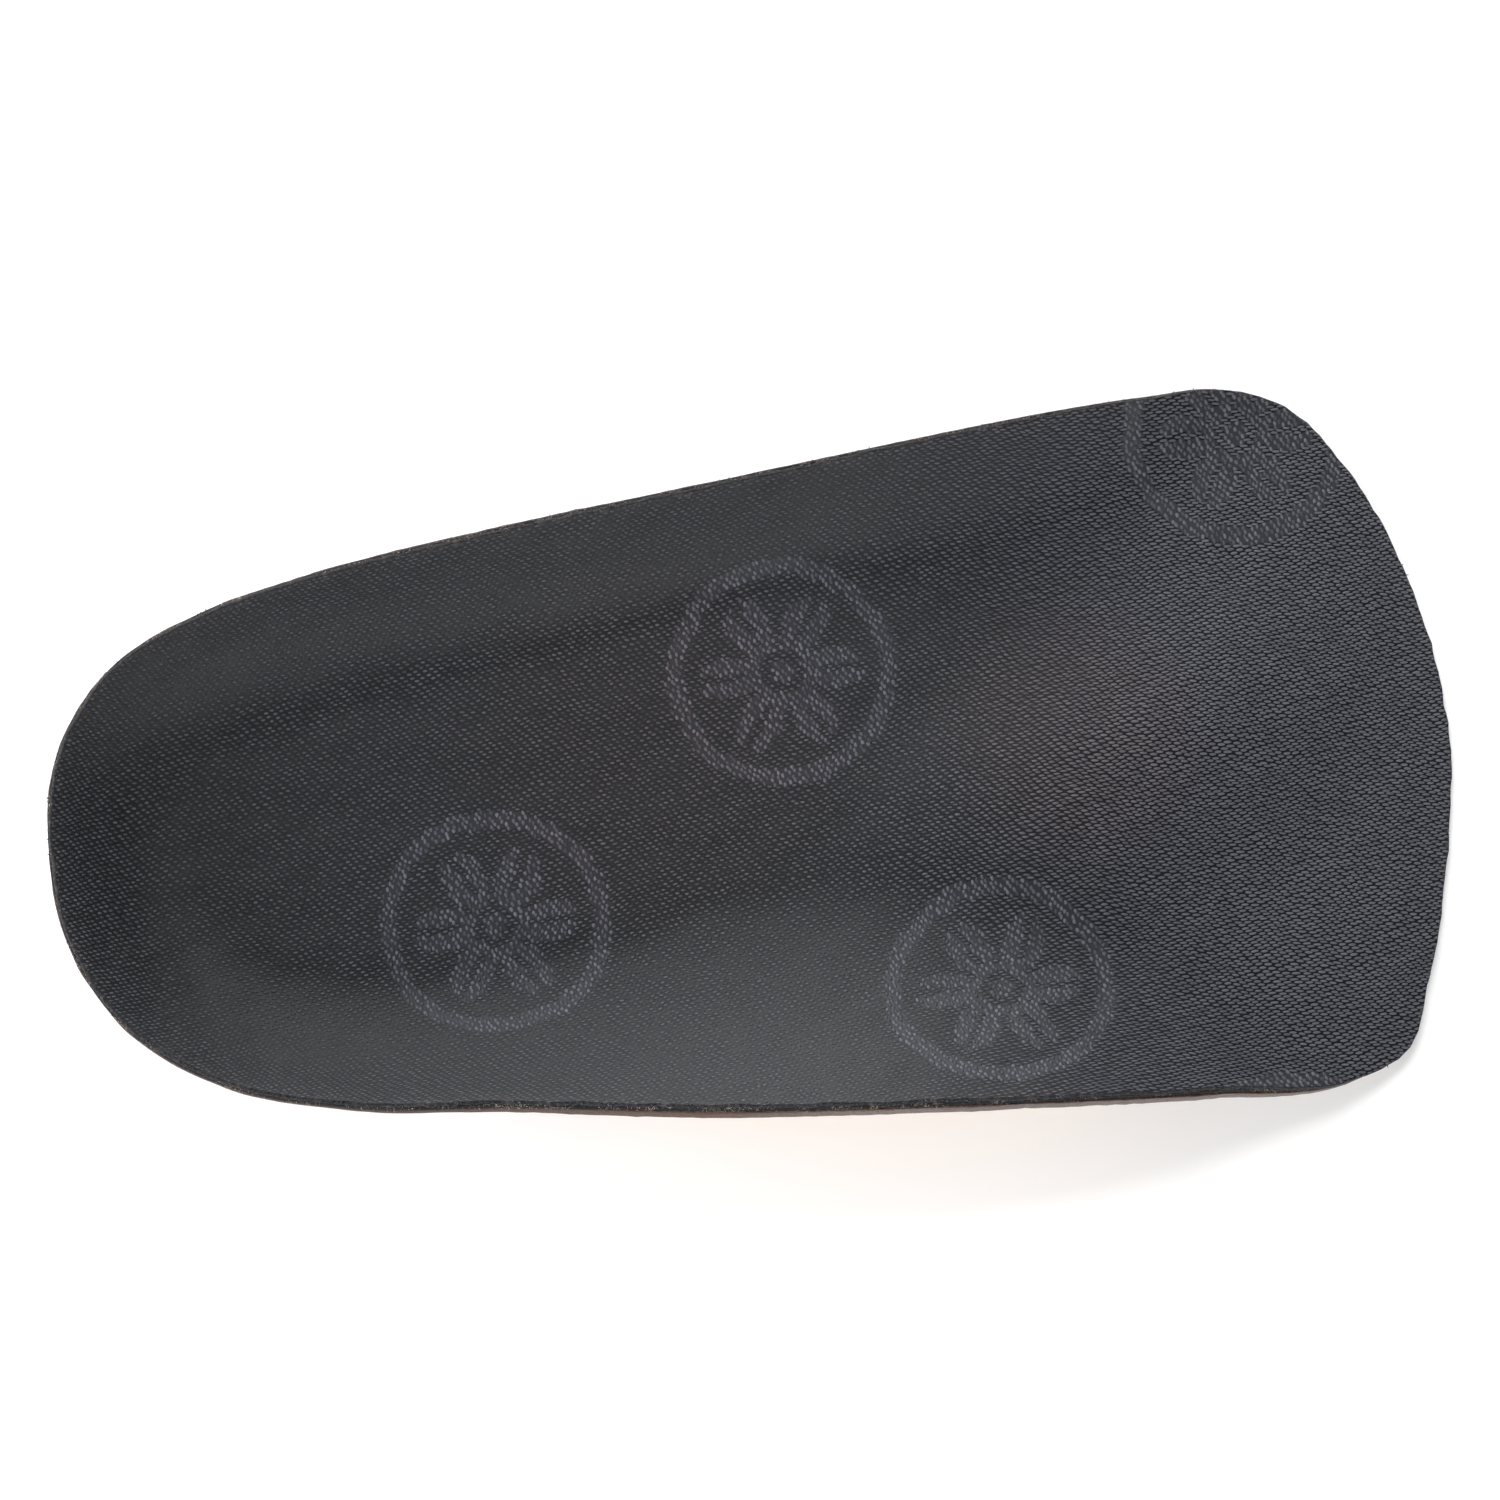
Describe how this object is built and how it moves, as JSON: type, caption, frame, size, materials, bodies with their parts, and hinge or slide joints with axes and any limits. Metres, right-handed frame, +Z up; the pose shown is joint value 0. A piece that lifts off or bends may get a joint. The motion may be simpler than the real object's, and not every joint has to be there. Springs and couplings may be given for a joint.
{
  "type": "foot orthosis",
  "caption": "Three-quarter-length moulded foot orthosis for a left foot, with a woven top, heel cup, arch flange, forefoot dome and a flat heel post.",
  "frame": {"origin": "centre of the heel post's flat underside, on the plane that the orthosis rests on", "axes": "+X from the heel to the front edge, +Y towards the outer side of the left foot, -Y towards the arch side, +Z up out of the heel cup"},
  "size_m": [0.1779, 0.091, 0.0252],
  "materials": {
    "woven_cover": "matte jacquard weave, charcoal with lighter round motifs",
    "black_foam": "matte closed-cell foam",
    "pad_foam": "matte natural latex foam",
    "shock_rubber": "satin soft rubber",
    "shell_plastic": "matte semi-rigid plastic",
    "base_leather": "smooth brown lining leather with raw taupe edge",
    "cork": "ground granulated cork",
    "post_foam": "ground dense foam, matte",
    "grip_rubber": "fine-ribbed thin rubber, matte"
  },
  "bodies": {
    "root": {"top_cover": "woven_cover", "cushion_layer": "black_foam", "metatarsal_pad": "pad_foam", "heel_pad": "shock_rubber", "arch_shell": "shell_plastic", "base_cover": "base_leather", "arch_filler": "cork", "heel_post": "post_foam", "heel_grip": "grip_rubber"}
  },
  "joints": []
}
